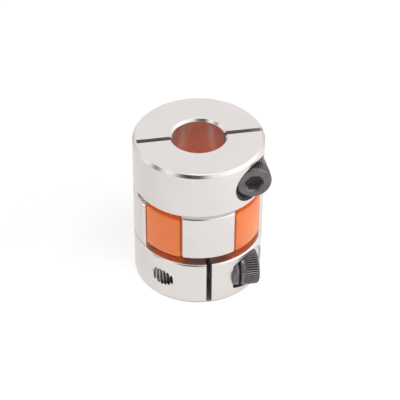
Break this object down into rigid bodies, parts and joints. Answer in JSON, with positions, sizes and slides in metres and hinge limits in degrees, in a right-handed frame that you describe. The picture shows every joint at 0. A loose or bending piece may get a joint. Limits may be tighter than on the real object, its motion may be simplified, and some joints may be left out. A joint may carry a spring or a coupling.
{
  "type": "jaw coupling",
  "caption": "Clamp-type jaw coupling: slit metal hubs joined through an elastomer spider, each hub clamped on its shaft by a cap screw with a lock washer.",
  "frame": {"origin": "centre of the lower hub's end face, on the coupling axis", "axes": "+Z along the coupling axis from the lower hub to the upper hub; the lower hub's slit opens towards -Y and its clamp screw lies along X; the upper hub's slit opens towards +X and its clamp screw lies along Y"},
  "size_m": [0.02, 0.02, 0.025],
  "materials": {
    "hub_aluminium": "fine turned and milled, clear anodised",
    "polyurethane": "smooth moulded polyurethane, slightly satin",
    "black_steel": "black oxide"
  },
  "bodies": {
    "lower_hub": {"lower_hub": "hub_aluminium", "lower_lock_washer": "black_steel"},
    "spider": {"spider": "polyurethane"},
    "upper_hub": {"upper_hub": "hub_aluminium", "upper_lock_washer": "black_steel"},
    "lower_clamp_screw": {"lower_clamp_screw": "black_steel"},
    "upper_clamp_screw": {"upper_clamp_screw": "black_steel"}
  },
  "joints": [
    {"name": "spider_play", "type": "hinge", "parent": "lower_hub", "child": "spider", "pos_m": [0, 0, 0.0125], "axis": [0, 0, 1], "range_deg": [-1, 1]},
    {"name": "upper_hub_plug", "type": "slide", "parent": "spider", "child": "upper_hub", "axis": [0, 0, 1], "range_m": [-0.001, 0.012]},
    {"name": "lower_screw_travel", "type": "slide", "parent": "lower_hub", "child": "lower_clamp_screw", "axis": [1, 0, 0], "range_m": [-0.0003, 0.0105]},
    {"name": "upper_screw_travel", "type": "slide", "parent": "upper_hub", "child": "upper_clamp_screw", "axis": [0, -1, 0], "range_m": [0, 0.0105]}
  ]
}
